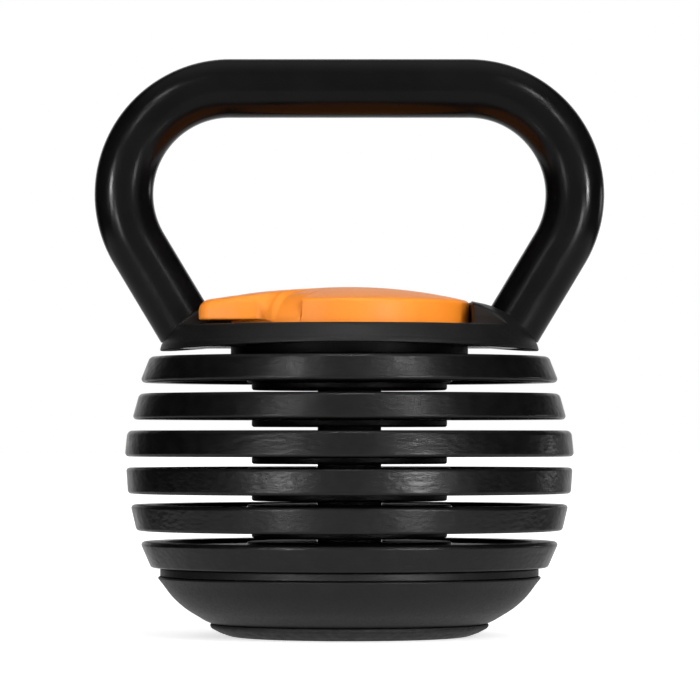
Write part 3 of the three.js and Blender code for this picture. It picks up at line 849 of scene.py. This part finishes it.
def dial_lever():
    """The lever: a skin over the dial's sector and a thick wing beyond it. Its top is the crown, raised
    towards the rim from the arm's front edge on, and falls straight along the wing. Its wall's foot rises
    from the dial's to the wing's underside."""
    step = np.array([0.0, 0.03, 0.14, 0.4])
    seam_inset = np.array([0.4, 0.2, 0.07, 0.0])
    turn = np.linspace(0, 90, 5) * DEG
    back_inset = 1.2 * (1 - np.sin(turn))
    back_step = 1.2 * (1 - np.cos(turn))
    plain = np.linspace(SEAM - 1.2 * DEG, LEVER_BACK + 1.4 * DEG, 150)
    azimuth = np.concatenate([
        SEAM - SEAM_GAP - step / DIAL_R,
        plain,
        LEVER_BACK + back_step[::-1] / 70,
    ])[None, :]
    inset = np.concatenate([seam_inset, 0 * plain, back_inset[::-1]])[None, :]
    rim = lever_outline(azimuth) - inset
    arm = smooth((azimuth - ARM_FRONT) / (-5.0 * DEG))
    edge = rim_round(azimuth) + 1.4 * smooth((rim - 70) / 9)

    def top(r):
        level = crown(np.minimum(r, DIAL_R)) + ARM_RAISE * smooth((r - 18) / 50) * arm
        wing = WING_TOP_Z - WING_FALL * (r - DIAL_R)
        return np.where(r > DIAL_R, wing * arm + crown(DIAL_R) * (1 - arm), level) - inset

    foot = DIAL_FOOT_Z + WING_UNDER * smooth((azimuth - (-122 * DEG)) / (-14 * DEG)) + inset
    r, z = lever_section(rim, edge, top, foot)
    return turned(np.stack([r, z], -1), azimuth)


piece("dial_cap", dial_cap(), "dial", "orange_plastic")
piece("dial_lever", dial_lever(), "dial", "orange_plastic", capped=True)


# ---------------------------------------------------------------- finishes on the CAD's own nodes

NODE_FINISHES = {
    "bare_steel": ["lock_shaft", "post_bolt", "post_washer", "detent_block", "detent_ball",
                   "detent_spring", "dial_washer", "dial_screw",
                   *[f"housing_screw_{i}" for i in range(1, 5)], *[f"lid_screw_{i}" for i in range(1, 5)]],
    "black_paint": ["handle_strap"],
    "oxide_and_painted_shade": ["core_post"],
    "black_plastic": ["dial_hub"],
    "ballast_iron": ["base_ballast"],
    "bronze": ["thrust_washer", "upper_bushing"],
}
for finish, names in NODE_FINISHES.items():
    for name in names:
        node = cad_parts[name]
        node.data.materials.clear()
        node.data.materials.append(FINISHES[finish])


# ---------------------------------------------------------------- camera, floor and light


def camera():
    """A long lens a little above the floor, square to the lever's side."""
    data = bpy.data.cameras.new("camera")
    data.sensor_width = 36.0
    data.lens = 231.4
    data.clip_end = 50.0
    camera_object = bpy.data.objects.new("camera", data)
    bpy.context.scene.collection.objects.link(camera_object)
    camera_object.location = (0.0, -2.295, 0.100)
    aim = Vector((0.0003, 0.0, 0.1459)) - camera_object.location
    camera_object.rotation_euler = aim.to_track_quat("-Z", "Y").to_euler()
    bpy.context.scene.camera = camera_object


def floor():
    """White paper that glows a little. It casts no shadow on the lights below it, and the object doesn't
    mirror it."""
    half = 30.0
    corners = [(-half, -half, 0), (half, -half, 0), (half, half, 0), (-half, half, 0)]
    mesh = bpy.data.meshes.new("floor")
    mesh.from_pydata(corners, [], [(0, 1, 2, 3)])
    f = Finish("floor_paper", 0.9, specular=0.1)
    f.colours(f.noise(3, 2), (0.3, (0.9, 0.9, 0.9)), (0.7, (0.93, 0.93, 0.93)))
    f.shader.inputs["Emission Color"].default_value = (1, 1, 1, 1)
    f.shader.inputs["Emission Strength"].default_value = 0.65
    mesh.materials.append(f.material)
    ground = bpy.data.objects.new("floor", mesh)
    bpy.context.scene.collection.objects.link(ground)
    ground.visible_glossy = False
    ground.visible_diffuse = False
    ground.visible_shadow = False


def softbox(name, place, aim, size, power, spread):
    """A rectangular lamp that faces aim: width and height in metres, power in watts, beam in degrees."""
    data = bpy.data.lights.new(name, "AREA")
    data.spread = spread * DEG
    data.shape = "RECTANGLE"
    data.size, data.size_y = size
    data.energy = power
    light = bpy.data.objects.new(name, data)
    bpy.context.scene.collection.objects.link(light)
    light.location = place
    light.rotation_euler = (Vector(aim) - Vector(place)).to_track_quat("-Z", "Y").to_euler()


def front_light():
    """Even light from a broad patch in front, low and somewhat to the right, the same over the whole
    floor. It lights surfaces without showing in them."""
    data = bpy.data.lights.new("front_light", "SUN")
    data.energy = 1.8
    data.angle = 55 * DEG
    light = bpy.data.objects.new("front_light", data)
    bpy.context.scene.collection.objects.link(light)
    light.rotation_euler = (74 * DEG, 0, 28 * DEG)
    light.visible_glossy = False


# Greys by direction: from straight in front, 0, to straight behind, 1, and from straight down to straight up.
FRONT_TO_BACK = [
    (0.0, 0.3), (0.225, 0.3), (0.285, 0.0), (0.89, 0.0), (0.905, 0.35), (0.945, 0.4), (0.965, 1.0),
]
DOWN_TO_UP = [
    (0.0, 0.46), (0.2, 0.5), (0.27, 0.42), (0.33, 0.55), (0.36, 0.55), (0.38, 0.0), (0.82, 0.0), (1.0, 0.4),
]


def surroundings():
    """What the object mirrors is the lighter of the two greys above: white straight behind it, grey in
    front, below and overhead, black at its sides. Matt surfaces get an even grey, and a camera sees white."""
    world = bpy.data.worlds.new("surroundings")
    bpy.context.scene.world = world
    world.cycles.sampling_method = "NONE"
    world.use_nodes = True
    nodes, links = world.node_tree.nodes, world.node_tree.links
    direction = nodes.new("ShaderNodeTexCoord")
    split = nodes.new("ShaderNodeSeparateXYZ")
    links.new(direction.outputs["Generated"], split.inputs["Vector"])

    def ramp(axis, stops):
        across = nodes.new("ShaderNodeMapRange")
        across.inputs["From Min"].default_value = -1
        links.new(split.outputs[axis], across.inputs["Value"])
        node = nodes.new("ShaderNodeValToRGB")
        while len(node.color_ramp.elements) < len(stops):
            node.color_ramp.elements.new(0.5)
        for element, (at, grey) in zip(node.color_ramp.elements, stops):
            element.position = at
            element.color = (grey, grey, grey, 1)
        links.new(across.outputs["Result"], node.inputs["Fac"])
        return node.outputs["Color"]

    lighter = nodes.new("ShaderNodeMix")
    lighter.data_type = "RGBA"
    lighter.blend_type = "LIGHTEN"
    lighter.inputs["Factor"].default_value = 1
    links.new(ramp("Y", FRONT_TO_BACK), lighter.inputs["A"])
    links.new(ramp("Z", DOWN_TO_UP), lighter.inputs["B"])
    path = nodes.new("ShaderNodeLightPath")
    shown_to = lighter.outputs["Result"]
    for ray, grey in (("Is Diffuse Ray", 0.52), ("Is Camera Ray", 1.0)):
        pick = nodes.new("ShaderNodeMix")
        pick.data_type = "RGBA"
        links.new(path.outputs[ray], pick.inputs["Factor"])
        links.new(shown_to, pick.inputs["A"])
        pick.inputs["B"].default_value = (grey, grey, grey, 1)
        shown_to = pick.outputs["Result"]
    links.new(shown_to, nodes["Background"].inputs["Color"])


def around(angle, distance, height):
    """A place at that angle from the lever's side (-Y), positive to the right."""
    return (distance * np.sin(angle * DEG), -distance * np.cos(angle * DEG), height)


def highlights():
    """Narrow lamps that give the black rims, bends and dome their highlights. Rims that face up, straight
    out and down each mirror lamps at their own height. The right side is a little stronger."""
    for side in (-1, 1):
        low = around(side * 35.5, 1.6, 0.02)
        mid = around(side * 36, 1.5, 0.95)
        upper = around(side * 37, 1.15, 1.2)
        under = around(side * 36, 1.4, -0.6)
        bend = around(side * 54, 1.0, 0.31)
        softbox(f"low_{side}", low, (0, 0, 0.07), (0.3, 0.24), 0.054 + side * 0.009, 13)
        softbox(f"mid_{side}", mid, (0, 0, 0.12), (0.3, 0.3), 0.013 + side * 0.002, 8)
        softbox(f"upper_{side}", upper, (0, 0, 0.132), (0.3, 0.25), 0.016 + side * 0.002, 8)
        softbox(f"under_{side}", under, (0, 0, 0.06), (0.3, 0.25), 0.009 + side * 0.001, 9)
        softbox(f"bend_{side}", bend, (side * 0.125, 0, 0.23), (0.06, 0.22), 0.0165, 9)
    softbox("rim_right", around(125, 1.5, 0.1), (0, 0, 0.09), (0.3, 0.5), 0.012, 13)
    softbox("dome_top", (0, -0.30, 1.05), (0, -0.088, 0.155), (0.8, 0.1), 0.022, 4.5)


camera()
floor()
surroundings()
front_light()
highlights()
bpy.context.scene.view_settings.view_transform = "Standard"
